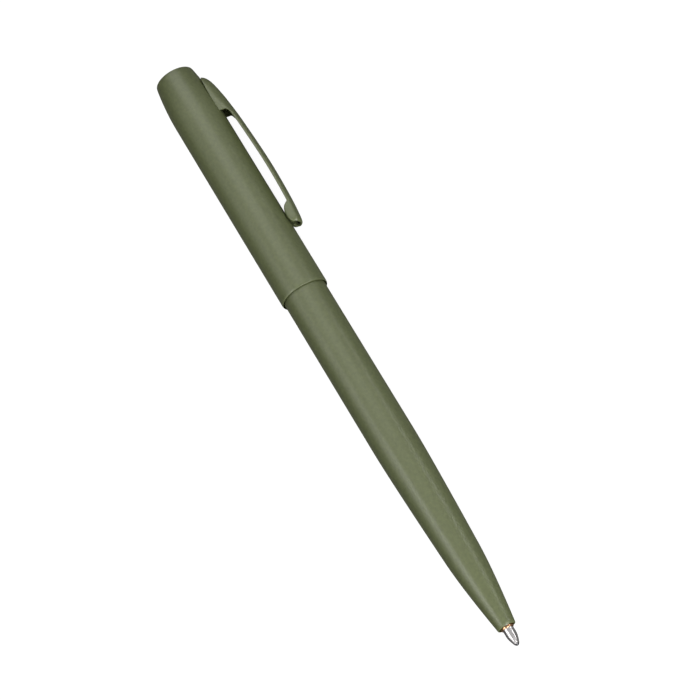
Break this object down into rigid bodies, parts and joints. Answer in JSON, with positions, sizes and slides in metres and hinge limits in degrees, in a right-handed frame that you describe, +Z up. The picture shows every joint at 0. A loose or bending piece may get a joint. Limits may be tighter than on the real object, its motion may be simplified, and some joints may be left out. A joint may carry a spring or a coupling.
{
  "type": "retractable pen",
  "caption": "All-metal ballpoint pen with a sliding cap that clicks the point out and in, a sprung pocket clip and a tapered barrel.",
  "frame": {"origin": "centre of the flat end of the cap", "axes": "+X along the pen from the cap's closed end to the point; +Z up; the clip stands out along +Y, rolled 26.4 degrees down towards the table"},
  "size_m": [0.1328, 0.0122, 0.0098],
  "materials": {
    "olive_coat": "fine matte",
    "clip_coat": "fine matte on pressed sheet",
    "brass": "turned",
    "steel": "bright drawn and turned stainless",
    "ball": "ground and lapped",
    "white_acetal": "moulded",
    "black_acetal": "moulded",
    "ink": "viscous ink"
  },
  "bodies": {
    "barrel": {"barrel": "olive_coat", "mechanism_housing": "brass", "guide_bush": "brass", "cam_sleeve": "black_acetal"},
    "cap": {"cap_shell": "olive_coat", "cap_bush": "black_acetal", "plunger": "white_acetal"},
    "clip": {"pocket_clip": "clip_coat"},
    "refill": {"refill_tube": "steel", "refill_tail_plug": "brass", "ink_float": "black_acetal", "ink_column": "ink", "refill_carrier": "brass", "refill_point": "steel", "refill_spring": "steel"},
    "rotor": {"cam_rotor": "white_acetal"},
    "ball": {"writing_ball": "ball"}
  },
  "joints": [
    {"name": "cap_slide", "type": "slide", "parent": "barrel", "child": "cap", "axis": [-1, 0, 0], "range_m": [-0.001, 0.005]},
    {"name": "refill_slide", "type": "slide", "parent": "barrel", "child": "refill", "axis": [-1, 0, 0], "range_m": [-0.001, 0.005], "deforming": ["refill_spring"]},
    {"name": "clip_flex", "type": "hinge", "parent": "cap", "child": "clip", "pos_m": [0.0032, 0.00376, -0.00187], "axis": [0, 0.4446, 0.8957], "range_deg": [0, 3], "stiffness_Nm_per_rad": 3},
    {"name": "rotor_index", "type": "hinge", "parent": "refill", "child": "rotor", "pos_m": [0.033, 0, 0], "axis": [1, 0, 0], "continuous": true},
    {"name": "ball_roll", "type": "hinge", "parent": "refill", "child": "ball", "pos_m": [0.13235, 0, 0], "axis": [0, 1, 0], "continuous": true}
  ],
  "couplings": [
    {"joint": "refill_slide", "follows": "cap_slide", "ratio": 1}
  ]
}
